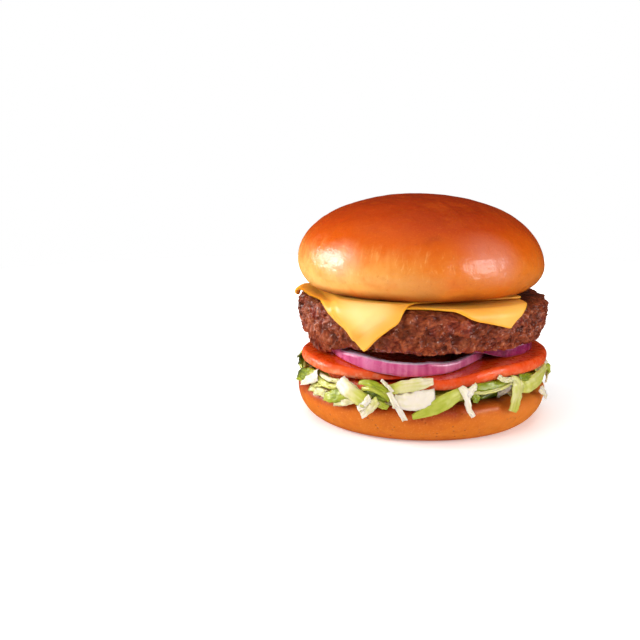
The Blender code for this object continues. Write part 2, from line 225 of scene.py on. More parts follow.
def closed_sheet(middle, normal, half):
    """Vertices and quads of a closed sheet round a grid of middle points."""
    upper = middle + normal * half[..., None]
    lower = middle - normal * half[..., None]
    rows, columns = middle.shape[:2]
    loops = np.concatenate([upper, lower[:, ::-1]], axis=1)
    width = 2 * columns
    faces = [grid_faces(rows, width, False, True)]
    for row, order in ((0, 1), (rows - 1, -1)):
        k = np.arange(columns - 1)
        cap = np.stack([k, k + 1, width - 2 - k, width - 1 - k], axis=-1) + row * width
        faces.append(cap[:, ::order])
    vertices = loops.reshape(-1, 3)
    return vertices, facing_out(vertices, np.concatenate(faces))


def both_faces(values):
    """A value on a sheet's middle grid, repeated for its two faces."""
    return np.concatenate([values, values[:, ::-1]], axis=1).ravel()


def make_piece(name, node, material, vertices, faces, values=None):
    """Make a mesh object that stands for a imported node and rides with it."""
    mesh = bpy.data.meshes.new(name)
    mesh.from_pydata(vertices.reshape(-1, 3).tolist(), [], [list(face) for face in faces])
    mesh.validate()
    for key, amounts in (values or {}).items():
        layer = mesh.attributes.new(key, "FLOAT", "POINT")
        layer.data.foreach_set("value", np.ravel(amounts).astype(np.float32))
    mesh.shade_smooth()
    mesh.materials.append(material)
    piece = bpy.data.objects.new(name, mesh)
    bpy.context.scene.collection.objects.link(piece)
    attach(piece, "root")
    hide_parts(node)
    return piece


def turned_faces(points):
    """Faces of a turned grid with its first and last rows closed."""
    rows, columns = points.shape[:2]
    quads = facing_out(points.reshape(-1, 3), grid_faces(rows, columns, False, True))
    quads = quads.tolist()
    first, last = list(range(columns)), list(range((rows - 1) * columns, rows * columns))
    flipped = quads[0][0] > quads[0][1] or quads[0][1] - quads[0][0] > 1
    return quads + ([first, last[::-1]] if flipped else [first[::-1], last])


# Materials

class Surface:
    """A Principled material with short ways to add its nodes."""

    def __init__(self, name):
        self.material = bpy.data.materials.new(name)
        self.material.use_nodes = True
        self.tree = self.material.node_tree
        self.shader = self.tree.nodes["Principled BSDF"]
        self.place = self.node("TexCoord").outputs["Object"]

    def node(self, kind, inputs=None, **settings):
        """A new node with its settings, and its inputs by name or by number."""
        node = self.tree.nodes.new("ShaderNode" + kind)
        for name, value in settings.items():
            setattr(node, name, value)
        for name, value in (inputs or {}).items():
            self.put(node.inputs[name], value)
        return node

    def put(self, socket, value):
        if isinstance(value, bpy.types.NodeSocket):
            self.tree.links.new(value, socket)
        elif value is not None:
            socket.default_value = value

    def set(self, **inputs):
        for name, value in inputs.items():
            self.put(self.shader.inputs[name.replace("_", " ")], value)

    def light_enters(self, weight, scale, radius):
        """How much light goes in under the surface, and how deep in metres and for each channel."""
        self.set(Subsurface_Weight=weight, Subsurface_Scale=scale, Subsurface_Radius=radius)

    def math(self, operation, a, b=None):
        return self.node("Math", {0: a, 1: b}, operation=operation).outputs[0]

    def times(self, a, b):
        return self.math("MULTIPLY", a, b)

    def plus(self, a, b):
        return self.math("ADD", a, b)

    def stirred(self, value, pattern, amount):
        """A value moved up and down by a pattern between 0 and 1."""
        return self.plus(value, self.times(self.math("SUBTRACT", pattern, 0.5), amount))

    def remap(self, value, low, high, to_low=0.0, to_high=1.0, kind="SMOOTHSTEP"):
        amounts = dict(enumerate((value, low, high, to_low, to_high)))
        return self.node("MapRange", amounts, interpolation_type=kind).outputs[0]

    def axes(self):
        return self.node("SeparateXYZ", {0: self.place}).outputs

    def reach(self):
        """Distance from the Z axis."""
        x, y, _ = self.axes()
        return self.math("SQRT", self.plus(self.times(x, x), self.times(y, y)))

    def stretched(self, scale):
        """The place with each axis scaled."""
        return self.node("VectorMath", {0: self.place, 1: scale}, operation="MULTIPLY").outputs[0]

    def round_place(self, around, up):
        """A place on a cylinder round Z: around cells to a radius and up cells to a metre."""
        x, y, z = self.axes()
        radius = self.math("MAXIMUM", self.reach(), 0.0001)
        across, along = (self.times(self.math("DIVIDE", axis, radius), around) for axis in (x, y))
        return self.node("CombineXYZ", {0: across, 1: along, 2: self.times(z, up)}).outputs[0]

    def spot(self, centre, size, wander=0.0):
        """1 inside a soft stretched spot and 0 outside it; centre and half sizes in millimetres."""
        place = self.place
        if wander:
            shift = {0: self.noise(160.0, 2.0, 0.5), 1: (wander, wander, wander), 2: self.place}
            place = self.node("VectorMath", shift, operation="MULTIPLY_ADD").outputs[0]
        location, scale = ([value / 1000.0 for value in triple] for triple in (centre, size))
        inputs = {"Vector": place, "Location": location, "Scale": scale}
        inside = self.node("Mapping", inputs, vector_type="TEXTURE").outputs[0]
        length = self.node("VectorMath", {0: inside}, operation="LENGTH").outputs["Value"]
        return self.remap(length, 0.0, 1.0, 1.0, 0.0)

    def noise(self, scale, detail=2.0, roughness=0.5, place=None, distortion=0.0):
        inputs = {"Vector": place or self.place, "Scale": scale, "Detail": detail,
                  "Roughness": roughness, "Distortion": distortion}
        return self.node("TexNoise", inputs).outputs["Fac"]

    def cell(self, scale, feature="F1", place=None):
        inputs = {"Vector": place or self.place, "Scale": scale}
        return self.node("TexVoronoi", inputs, feature=feature).outputs["Distance"]

    def value(self, name):
        return self.node("Attribute", attribute_name=name).outputs["Fac"]

    def ramp(self, amount, *stops):
        """Colours by an amount; each stop is its position, then red, green and blue as on screen."""
        node = self.node("ValToRGB", {0: amount})
        elements = node.color_ramp.elements
        while len(elements) < len(stops):
            elements.new(0.5)
        for element, (position, *colour) in zip(elements, stops):
            element.position = position
            element.color = srgb(*colour)
        return node.outputs[0]

    def mix(self, share, first, second):
        return self.node("Mix", {0: share, 6: first, 7: second}, data_type="RGBA").outputs[2]

    def tint(self, colour, share, most, red, green, blue):
        """A colour mixed towards another one as it shows on screen, by a share of a part of it."""
        return self.mix(self.times(share, most), colour, srgb(red, green, blue))

    def bump(self, height, depth, strength=1.0, under=None):
        """Relief of a height between 0 and 1 and a depth in metres."""
        inputs = {"Strength": strength, "Distance": depth, "Height": height, "Normal": under}
        return self.node("Bump", inputs).outputs[0]


def crust_of_crown():
    """Glazed crust: golden at the rim, orange on the flank and red-brown on top, with pale streaks, painted
    shade under the lip and two painted highlights on the flank.
    """
    s = Surface("crown_crust")
    x, _, z = s.axes()
    patches = s.noise(34.0, 3.0, 0.5)
    streaks = s.noise(1.0, 3.0, 0.6, s.round_place(13.0, 110.0))
    height = s.stirred(z, patches, 0.018)
    height = s.plus(height, s.times(x, 0.06))
    share = s.remap(height, 0.058, 0.101, kind="LINEAR")
    # The first, darkest stop is painted shade under the lip and on the underside.
    colour = s.ramp(
        share, (0.00, 104, 34, 4), (0.12, 192, 96, 14), (0.34, 208, 102, 8), (0.52, 202, 84, 2),
        (0.74, 182, 60, 1), (1.00, 156, 42, 1))
    low = s.remap(s.stirred(z, streaks, 0.014), 0.085, 0.066)
    left = s.remap(x, 0.024, -0.044, 0.08, 1.0)
    # The golden share fades out near the underside, so that painted shade stays dark.
    golden = s.times(s.times(low, left), s.remap(z, 0.0596, 0.0645))
    colour = s.tint(colour, golden, 0.88, 242, 184, 98)
    threads = s.remap(s.noise(1.0, 4.0, 0.65, s.round_place(30.0, 170.0), 0.6), 0.54, 0.72)
    band = s.times(s.remap(z, 0.0650, 0.0700), s.remap(z, 0.0860, 0.0760))
    threads = s.times(threads, s.times(band, s.remap(x, 0.040, 0.0, 0.35, 1.0)))
    colour = s.tint(colour, threads, 0.26, 248, 192, 112)
    blush = s.remap(s.noise(70.0, 3.0, 0.6), 0.50, 0.70)
    colour = s.tint(colour, blush, 0.30, 206, 84, 4)
    uneven = s.remap(patches, 0.3, 0.6, 0.5, 1.0)
    # Painted highlights: pinkish pale spots on the right and the left flank, where the side lamps shine.
    painted_highlight = s.times(s.spot((28.0, -44.0, 77.0), (24.0, 16.0, 14.0)), uneven)
    colour = s.tint(colour, painted_highlight, 0.70, 208, 132, 112)
    painted_highlight = s.times(s.spot((-34.0, -44.0, 76.0), (15.0, 14.0, 11.0)), uneven)
    colour = s.tint(colour, painted_highlight, 0.60, 238, 172, 140)
    dark = s.spot((8.0, -44.0, 88.5), (5.0, 8.0, 2.6), wander=0.006)
    colour = s.tint(colour, dark, 0.35, 140, 42, 6)
    speckle = s.remap(s.noise(1500.0, 2.0, 0.6), 0.52, 0.75)
    colour = s.tint(colour, speckle, 0.16, 244, 142, 30)
    freckle = s.remap(s.noise(420.0, 3.0, 0.6), 0.58, 0.76)
    colour = s.tint(colour, freckle, 0.22, 150, 52, 4)
    wrinkle = s.cell(330.0, "DISTANCE_TO_EDGE", s.stretched((1.0, 1.0, 1.3)))
    wrinkle = s.remap(wrinkle, 0.0, 0.16)
    relief = s.bump(wrinkle, 0.00007, 0.28)
    relief = s.bump(s.noise(900.0, 4.0, 0.6), 0.00008, 0.6, relief)
    relief = s.bump(s.noise(260.0, 3.0, 0.55), 0.00045, 0.55, relief)
    relief = s.bump(s.noise(70.0, 2.0, 0.5, s.stretched((1.0, 1.0, 2.0))), 0.0022, 0.35, relief)
    s.set(Base_Color=colour, Normal=relief)
    s.set(Roughness=s.remap(s.noise(120.0, 3.0, 0.5), 0.3, 0.7, 0.34, 0.50))
    s.set(Coat_Weight=0.50, Coat_Roughness=0.27, Coat_Normal=relief, Specular_IOR_Level=0.08)
    s.light_enters(0.12, 0.004, (1.0, 0.4, 0.15))
    return s.material


def crust_of_heel():
    """Softer crust, darker round its upper edge, and painted lighter towards the right."""
    s = Surface("heel_crust")
    x, _, z = s.axes()
    patches = s.noise(60.0, 3.0, 0.55)
    height = s.stirred(z, patches, 0.010)
    colour = s.ramp(
        s.remap(height, 0.0, 0.0185, kind="LINEAR"), (0.00, 198, 98, 22), (0.25, 210, 116, 28),
        (0.60, 202, 102, 20), (0.80, 168, 62, 12), (0.96, 128, 36, 8))
    speckle = s.remap(s.noise(1300.0, 2.0, 0.6), 0.52, 0.75)
    colour = s.tint(colour, speckle, 0.25, 244, 160, 84)
    mottle = s.remap(s.noise(230.0, 3.0, 0.6), 0.45, 0.72)
    colour = s.tint(colour, mottle, 0.30, 178, 76, 18)
    pores = s.remap(s.cell(420.0), 0.10, 0.26, 1.0, 0.0)
    pores = s.times(pores, s.remap(s.noise(110.0, 2.0, 0.5), 0.50, 0.60))
    colour = s.tint(colour, pores, 0.50, 126, 46, 8)
    # Painted light: the colour grows lighter towards the right, where the heel lies in the side lamp's shade.
    colour = s.mix(s.remap(x, 0.016, 0.052, 0.0, 0.6), colour, srgb(236, 136, 44))
    relief = s.bump(s.noise(800.0, 4.0, 0.6), 0.0001, 0.5)
    relief = s.bump(s.math("SUBTRACT", 1.0, pores), 0.0004, 0.6, relief)
    relief = s.bump(s.noise(170.0, 2.0, 0.5), 0.0007, 0.5, relief)
    s.set(Base_Color=colour, Normal=relief, Coat_Normal=relief)
    s.set(Roughness=s.remap(s.noise(140.0, 3.0, 0.5), 0.3, 0.7, 0.34, 0.50))
    s.set(Coat_Weight=0.07, Coat_Roughness=0.30, Specular_IOR_Level=0.14)
    s.light_enters(0.12, 0.004, (1.0, 0.4, 0.15))
    return s.material


def ground_beef():
    """Browned coarse ground meat: crevices painted dark as shade, pinkish brown grains and wet glints, and
    darker towards the top.
    """
    s = Surface("ground_beef")
    z = s.axes()["Z"]
    # Painted shade: the colour is darker where the relief is low, in crevices and holes, and lighter on
    # lumps.
    shade_by_relief = s.value("shade_by_relief")
    patches = s.noise(95.0, 3.0, 0.6)
    grain = s.noise(700.0, 4.0, 0.65)
    tone = s.stirred(shade_by_relief, grain, 0.7)
    tone = s.stirred(tone, patches, 0.5)
    colour = s.ramp(
        tone, (0.08, 82, 28, 14), (0.32, 118, 48, 26), (0.55, 148, 69, 37), (0.76, 172, 91, 55),
        (0.96, 200, 134, 100))
    redness = s.remap(s.noise(130.0, 2.0, 0.5), 0.50, 0.66)
    colour = s.tint(colour, redness, 0.45, 128, 36, 28)
    browned = s.remap(s.noise(75.0, 3.0, 0.6), 0.48, 0.66)
    colour = s.tint(colour, browned, 0.45, 92, 44, 20)
    fat = s.remap(s.noise(620.0, 2.0, 0.5), 0.66, 0.72)
    colour = s.tint(colour, fat, 0.40, 206, 168, 148)
    # Darker towards the top.
    toward_top = s.stirred(z, patches, 0.012)
    colour = s.mix(s.remap(toward_top, 0.0535, 0.0590, 0.0, 0.75), colour, srgb(40, 20, 16))
    relief = s.bump(s.noise(1500.0, 3.0, 0.7), 0.00020, 0.7)
    relief = s.bump(s.noise(500.0, 4.0, 0.65), 0.00045, 0.6, relief)
    s.set(Base_Color=colour, Normal=relief, Coat_Normal=relief)
    s.set(Roughness=s.remap(s.noise(420.0, 3.0, 0.6), 0.42, 0.62, 0.28, 0.62))
    coat = s.remap(s.noise(240.0, 3.0, 0.6), 0.45, 0.62, 0.15, 0.95)
    coat = s.times(coat, s.remap(z, 0.0540, 0.0580, 1.0, 0.15))
    s.set(Coat_Weight=coat, Coat_Roughness=0.13)
    s.set(Specular_IOR_Level=0.2)
    s.light_enters(0.06, 0.003, (1.0, 0.3, 0.2))
    return s.material


def melted_cheese():
    """Smooth processed slice, a little paler in soft patches, with a painted highlight on the upper slice's
    hanging flap.
    """
    s = Surface("melted_cheese")
    patches = s.noise(55.0, 2.0, 0.5)
    colour = s.ramp(patches, (0.30, 242, 162, 56), (0.52, 245, 174, 72), (0.72, 248, 186, 88))
    x = s.axes()["X"]
    colour = s.mix(s.remap(x, -0.022, -0.044, 0.0, 0.7), colour, srgb(238, 154, 44))
    # Painted highlight: a pale patch on the upper slice's hanging flap.
    colour = s.mix(s.value("pale"), colour, srgb(250, 214, 144))
    colour = s.mix(s.value("cut"), colour, srgb(248, 162, 28))
    relief = s.bump(s.noise(90.0, 2.0, 0.5), 0.0006, 0.5)
    relief = s.bump(s.noise(1200.0, 2.0, 0.5), 0.00003, 0.4, relief)
    s.set(Base_Color=colour, Normal=relief, Roughness=s.remap(s.noise(150.0), 0.3, 0.7, 0.38, 0.52))
    s.light_enters(0.35, 0.004, (1.0, 0.55, 0.15))
    s.set(Coat_Weight=0.04, Coat_Roughness=0.3, Specular_IOR_Level=0.25)
    return s.material


def red_onion(name, dark, middle, light):
    """Purple skin on the outer wall, pale where the ring is cut, with soft upright bands."""
    s = Surface(name)
    skin = s.value("skin")
    lines = s.noise(1.0, 1.0, 0.4, s.round_place(24.0, 10.0))
    patches = s.noise(60.0, 2.0, 0.5)
    tone = s.stirred(0.5, lines, 0.6)
    tone = s.stirred(tone, patches, 0.9)
    outer = s.ramp(tone, (0.20, *dark), (0.50, *middle), (0.80, *light))
    flesh = s.ramp(lines, (0.3, 226, 186, 212), (0.7, 240, 214, 230))
    colour = s.mix(skin, flesh, outer)
    relief = s.bump(lines, 0.00003, 0.2)
    relief = s.bump(s.noise(400.0, 3.0, 0.6), 0.00015, 0.4, relief)
    s.set(Base_Color=colour, Normal=relief, Coat_Normal=relief)
    s.set(Roughness=s.remap(s.noise(260.0), 0.3, 0.7, 0.22, 0.36))
    s.set(Coat_Weight=0.5, Coat_Roughness=0.12)
    s.light_enters(0.35, 0.004, (1.0, 0.35, 0.6))
    return s.material


def cut_tomato():
    """Wet red flesh; the rim is painted paler, with pale specks as painted wet highlights, more towards the
    left.
    """
    s = Surface("cut_tomato")
    rim = s.value("rim")
    patches = s.noise(90.0, 3.0, 0.6)
    red = s.ramp(patches, (0.30, 210, 58, 6), (0.55, 226, 72, 10), (0.75, 234, 88, 24))
    specks = s.remap(s.noise(420.0, 3.0, 0.6), 0.44, 0.70)
    x = s.axes()["X"]
    # Painted light on the rim: painted paler, with pale specks as painted wet highlights, more towards the
    # left.
    painted_glints = s.times(s.remap(patches, 0.30, 0.60, 0.5, 1.0), s.remap(x, -0.014, 0.020, 1.0, 0.45))
    pale = s.mix(s.times(specks, 0.60), srgb(244, 112, 62), srgb(255, 186, 150))
    colour = s.mix(s.times(rim, painted_glints), red, pale)
    relief = s.bump(s.noise(520.0, 3.0, 0.6), 0.0003, 0.6)
    relief = s.bump(s.noise(130.0, 2.0, 0.5), 0.0006, 0.4, relief)
    s.set(Base_Color=colour, Normal=relief, Coat_Normal=relief)
    s.set(Roughness=s.remap(s.noise(300.0), 0.3, 0.7, 0.20, 0.42))
    s.set(Coat_Weight=0.30, Coat_Roughness=0.10, Specular_IOR_Level=0.15)
    s.light_enters(0.25, 0.004, (1.0, 0.25, 0.12))
    return s.material


def fresh_lettuce():
    """Cut leaf from creamy rib to green blade, with fine lines along each shred."""
    s = Surface("fresh_lettuce")
    green = s.value("green")
    veins = s.value("veins")
    mottle = s.noise(240.0, 3.0, 0.6)
    tone = s.stirred(green, mottle, 0.35)
    tone = s.stirred(tone, veins, 0.13)
    colour = s.ramp(
        tone, (0.00, 228, 216, 196), (0.22, 212, 202, 152), (0.45, 190, 188, 84), (0.68, 160, 168, 34),
        (0.90, 114, 128, 18), (1.00, 70, 80, 10))
    relief = s.bump(veins, 0.00018, 0.6)
    relief = s.bump(s.noise(700.0, 3.0, 0.6), 0.00015, 0.5, relief)
    s.set(Base_Color=colour, Normal=relief)
    s.set(Roughness=s.remap(mottle, 0.3, 0.7, 0.30, 0.48))
    s.light_enters(0.30, 0.003, (0.7, 0.8, 0.25))
    return s.material


# Layers

def plain_piece(name, node, material, points, values=None):
    return make_piece(name, node, material, points, turned_faces(points), values)


def crown():
    dome = arc(0.0, CROWN_WIDEST_Z, CROWN_RADIUS, CROWN_RISE, 90, 0, 160, 2.08)
    inner = 0.038
    under = arc(inner, CROWN_WIDEST_Z, CROWN_RADIUS - inner, CROWN_DROP, 0, -90, 80, 1.84)[1:]
    under = under[under[:, 1] > CROWN_UNDERSIDE_Z + GAP]
    lip = [(under[-1][0] - 0.0016, CROWN_UNDERSIDE_Z), (POLE, CROWN_UNDERSIDE_Z)]
    dome[0, 0] = CROWN_POLE
    profile = softened(evenly(np.concatenate([dome, under, lip]), 190), 2)
    points = turned(profile, CROWN_SIDES)
    x, y, z = np.moveaxis(points, -1, 0)
    angle = np.arctan2(y, x)
    share = smoothstep(CROWN_UNDERSIDE_Z, CROWN_WIDEST_Z, z)
    points[..., :2] *= (1.0 + 0.006 * share * waves(angle, 5.1))[..., None]
    points[..., 2] -= math.tan(CROWN_LEAN) * x * share
    points[..., 0] += CROWN_SHIFT_X
    relief = 0.00040 * field(points, 45.0, 2) + 0.00010 * field(points, 260.0, 2)
    points += grid_normals(points) * (relief * smoothstep(0.0, 0.3, share) * turn_sign(points))[..., None]
    plain_piece("crown_of_bun", "bun_top", crust_of_crown(), points)


def turn_sign(points):
    """1 where a turned grid's normals point out, and -1 where they point in."""
    normal = grid_normals(points)
    row = int(np.argmax(points[:, 0, 0] ** 2 + points[:, 0, 1] ** 2))
    return math.copysign(1.0, float((normal[row, :, :2] * points[row, :, :2]).sum()))


def heel():
    top_edge = arc(HEEL_RADIUS - HEEL_EDGE, HEEL_WIDEST_Z, HEEL_EDGE, HEEL_TOP_Z - HEEL_WIDEST_Z, 90, 0, 30)
    spread = HEEL_RADIUS - HEEL_BASE_RADIUS
    side = arc(HEEL_BASE_RADIUS, HEEL_WIDEST_Z, spread, HEEL_WIDEST_Z, 0, -90, 80, 1.8)[1:]
    profile = np.concatenate([[(POLE, HEEL_TOP_Z)], top_edge, side, [(POLE, 0.0)]])
    points = turned(softened(evenly(profile, 150), 1), HEEL_SIDES)
    x, y, z = np.moveaxis(points, -1, 0)
    share = smoothstep(0.040, HEEL_RADIUS, np.hypot(x, y)) * smoothstep(0.0, 0.006, z)
    points[..., :2] *= (1.0 + 0.007 * share * waves(np.arctan2(y, x), 0.8))[..., None]
    relief = 0.00030 * field(points, 60.0, 2) + 0.00010 * field(points, 260.0, 2)
    points += grid_normals(points) * (relief * share * turn_sign(points))[..., None]
    plain_piece("heel_of_bun", "bun_bottom", crust_of_heel(), points)


def tomato_right_base(x, y):
    across = 0.0045 * smoothstep(-0.014, 0.005, x) + 0.0040 * smoothstep(0.008, 0.038, x)
    return TOMATO_RIGHT_Z + across + 0.0045 * smoothstep(0.020, 0.045, y)


def tomato_thickness(size, x):
    return size[3] + size[4] * smoothstep(size[5], size[6], x)


def tomato_right_top(x, y):
    return tomato_right_base(x, y) + tomato_thickness(TOMATO_RIGHT, x)


def tomato_left_base(x, y):
    droop = 1.0 - smoothstep(-0.046, -0.026, y) + 0.7 * smoothstep(0.002, 0.016, y)
    own = TOMATO_LEFT_Z - TOMATO_LEFT_DROOP * droop
    return np.maximum(own, tomato_right_top(x, y) + BEND_GAP)


def tomato_slice(name, node, size, base, seed, material):
    x, y, radius, thickness = size[:4]
    half = thickness / 2
    rim = half * 0.8
    edge = arc(radius - rim, 0.0, rim, half, 90, -90, 60, 2.3)
    profile = evenly(np.concatenate([[(POLE, half)], edge, [(POLE, -half)]]), 130)
    points = turned(profile, TOMATO_SIDES)
    angle = np.arctan2(points[..., 1], points[..., 0])
    reach = np.hypot(points[..., 0], points[..., 1]) / radius
    points[..., :2] *= (1.0 + 0.012 * waves(angle, seed))[..., None]
    wall = smoothstep(0.955, 0.985, reach) * (1.0 - 0.6 * smoothstep(-0.3, 0.6, points[..., 2] / half))
    points += np.array([x, y, 0.0])
    level = (points[..., 2] + half) / thickness
    points[..., 2] = base(points[..., 0], points[..., 1]) + level * tomato_thickness(size, points[..., 0])
    relief = 0.00016 * field(points, 160.0, 2) + 0.00008 * field(points, 500.0, 2)
    points += grid_normals(points) * (relief * turn_sign(points - np.array([x, y, 0.0])))[..., None]
    plain_piece(name, node, material, points, {"rim": wall})


def tomato_slices():
    material = cut_tomato()
    tomato_slice("tomato_left_slice", "tomato_slice_left", TOMATO_LEFT, tomato_left_base, 1.9, material)
    tomato_slice("tomato_right_slice", "tomato_slice_right", TOMATO_RIGHT, tomato_right_base, 4.2, material)


def ring_front_base(x, y):
    on_left = tomato_left_base(x, y) + tomato_thickness(TOMATO_LEFT, x) + BEND_GAP
    on_right = tomato_right_top(x, y) + BEND_GAP
    low = np.maximum(RING_FRONT_Z, on_right)
    later = 0.0035 * smoothstep(-0.030, 0.0, y)
    return low + (np.maximum(on_left, low) - low) * (1.0 - smoothstep(-0.018, -0.004, x - later))


def ring_back_base(x, y):
    return RING_BACK_Z + RING_BACK_RISE * (1.0 - smoothstep(0.024, 0.038, x))


def onion_ring(name, node, size, base, seed, material):
    """A ring with softly squared walls; its outer wall carries the skin."""
    x, y, radius, height, loss = size
    half = height / 2
    turn = np.linspace(0.0, 2 * math.pi, 44, endpoint=False)
    c, s = np.cos(turn), np.sin(turn)
    r = radius - RING_WALL / 2 + RING_WALL / 2 * np.sign(c) * np.abs(c) ** 0.5
    z = half * np.sign(s) * np.abs(s) ** 0.5
    points = turned(np.column_stack([r, z]), RING_SIDES)
    angle = np.arctan2(points[..., 1], points[..., 0])
    points[..., :2] *= (1.0 + 0.02 * waves(angle, seed))[..., None]
    points += np.array([x, y, 0.0])
    level = (points[..., 2] + half) / height
    sides = smoothstep(0.002, 0.016, points[..., 0]) + 1.0 - smoothstep(-0.036, -0.022, points[..., 0])
    points[..., 2] = base(points[..., 0], points[..., 1]) + level * (height - loss * sides)
    points[..., 2] += 0.00015 * field(points, 200.0, 2)
    skin = smoothstep(0.0, 0.5, c) * (1.0 - smoothstep(0.78, 0.97, np.abs(z) / half))
    skin = np.repeat(skin[:, None], points.shape[1], axis=1)
    rows, columns = points.shape[:2]
    faces = facing_out(points.reshape(-1, 3), grid_faces(rows, columns, True, True))
    make_piece(name, node, material, points, faces, {"skin": skin})


def onion_rings():
    light = red_onion("red_onion", (184, 58, 110), (214, 98, 146), (236, 150, 188))
    # A darker copy of the onion for the back ring: painted shade, where the patty overhangs it.
    deep = red_onion("red_onion_painted_shade", (104, 12, 58), (142, 30, 86), (188, 82, 134))
    onion_ring("onion_front_ring", "onion_ring_front", RING_FRONT, ring_front_base, 0.4, light)
    onion_ring("onion_back_ring", "onion_ring_back", RING_BACK, ring_back_base, 2.6, deep)


def crags(points, scale, depth):
    """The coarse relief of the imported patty: three octaves of ridged noise."""
    total = 0.0
    weight = 1.0
    place = points * scale
    for _ in range(3):
        total = total + weight * (0.5 - np.abs(field(place, 1.0)))
        weight *= 0.55
        place = place * 2.1 + np.array([3.1, 1.7, 5.3])
    return depth * (total - 0.45) * 1.6


def patty_droop(radius, angle):
    """How far the rim hangs below the flat underside: a little all round, and in a lobe at the left."""
    away = (angle - math.radians(PATTY_LOBE_DEGREES)) % (2 * math.pi)
    away = np.degrees(np.minimum(away, 2 * math.pi - away))
    lobe = PATTY_LOBE * (1.0 - smoothstep(0.0, PATTY_LOBE_SPREAD, away))
    return PATTY_DROOP * smoothstep(0.0515, 0.0530, radius) + lobe * smoothstep(0.0490, 0.0515, radius)


def patty():
    top, bottom = PATTY_TOP_Z, PATTY_BOTTOM_Z
    middle, half = (top + bottom) / 2, (top - bottom) / 2
    side = evenly(arc(PATTY_RADIUS - PATTY_ROUNDING, middle, PATTY_ROUNDING, half, 90, -90, 300, 2.9), 104)
    hollow = bottom + PATTY_HOLLOW
    start = np.column_stack([np.linspace(POLE, 0.0478, 12), np.full(12, top)])
    edge = PATTY_HOLLOW_RADIUS
    end = np.array([(edge + 0.0022, bottom + 0.0006), (edge, hollow), (0.030, hollow), (POLE, hollow)])
    points = turned(np.concatenate([start, side, end]), PATTY_SIDES)
    x, y, z = np.moveaxis(points, -1, 0)
    radius = np.hypot(x, y)
    angle = np.arctan2(y, x)
    share = smoothstep(0.0470, 0.0530, radius)
    outward = np.stack([x, y, 0.0 * z], axis=-1) / radius[..., None]
    coarse = crags(points, 150.0, CRAG_DEPTH) + 0.0004 * waves(angle, 2.9)
    coarse += PATTY_FLARE * (z - middle) / half
    warp = np.stack([field(points, 240.0, 2, shift) for shift in (0.0, 17.3, 41.9)], axis=-1)
    bent = points + 0.0024 * warp
    lump, lump_next = cells(bent, 190.0)
    grain, grain_next = cells(bent, 520.0, 5.7)
    lump_gap = smoothstep(0.0, 0.40, lump_next - lump)
    grain_gap = smoothstep(0.0, 0.45, grain_next - grain)
    fine = field(points, 1400.0, 2)
    rough = field(points, 420.0, 3, 2.2)
    holes = smoothstep(0.30, 0.55, field(points, 120.0, 2, 9.1))
    relief = 0.00032 * (lump_gap - 0.7) + 0.00022 * (grain_gap - 0.6) - 0.0002 * lump
    relief += 0.00042 * rough + 0.00014 * fine - 0.0004 * holes
    points += outward * (share * coarse)[..., None]
    normal = grid_normals(points) * turn_sign(points)
    points += normal * (share * relief)[..., None]
    low = 1.0 - smoothstep(bottom, bottom + 0.008, z)
    points[..., 2] += low * (share * 0.0007 * waves(angle * 2, 0.3) - patty_droop(radius, angle))
    reach = np.hypot(points[..., 0], points[..., 1])
    limit = np.minimum(1.0, (DRAPE_RADIUS - 0.0002) / reach)
    points[..., :2] *= limit[..., None]
    # How high the relief stands at each point, which paints shade into its crevices and holes.
    shade_by_relief = 0.24 + 0.22 * lump_gap + 0.20 * grain_gap + 0.25 * rough + 0.12 * fine - 0.15 * holes
    plain_piece("ground_patty", "patty", ground_beef(), points, {"shade_by_relief": shade_by_relief})


def drape(u, v, base, lift):
    """Lay points of a flat sheet on the patty, over its rounded edge and down its side."""
    reach = np.maximum(np.hypot(u, v), 1e-6)
    flat_end = DRAPE_RADIUS - DRAPE_CORNER
    corner = DRAPE_CORNER + lift
    bend = np.maximum(0.0, reach - flat_end)
    turn = np.minimum(math.pi / 2, bend / DRAPE_CORNER)
    over = np.maximum(0.0, bend - DRAPE_CORNER * math.pi / 2)
    r = np.minimum(reach, flat_end) + corner * np.sin(turn)
    z = base + lift - corner * (1.0 - np.cos(turn)) - over
    return np.stack([u / reach * r, v / reach * r, z], axis=-1), over


def slice_axes(size):
    """Directions of a slice's two edges from its front corner."""
    heading = math.radians(size[1])
    along = np.array([math.cos(heading), math.sin(heading)])
    return along, np.array([-along[1], along[0]])


def inside_lower(u, v):
    """Distance from a flat place to the nearest edge of the lower slice, more than 0 inside it."""
    side, _, corner = CHEESE_LOWER
    along, across = slice_axes(CHEESE_LOWER)
    p, q = u - corner[0], v - corner[1]
    a, b = p * along[0] + q * along[1], p * across[0] + q * across[1]
    drawn = LOWER_DRAW[0] * smoothstep(LOWER_DRAW[1], LOWER_DRAW[2], a / side)
    flare = LOWER_DRAW[3] * smoothstep(0.0, FLARE_END, b / side)
    return np.minimum(np.minimum(a, side + flare - a), np.minimum(b - drawn, side - b))


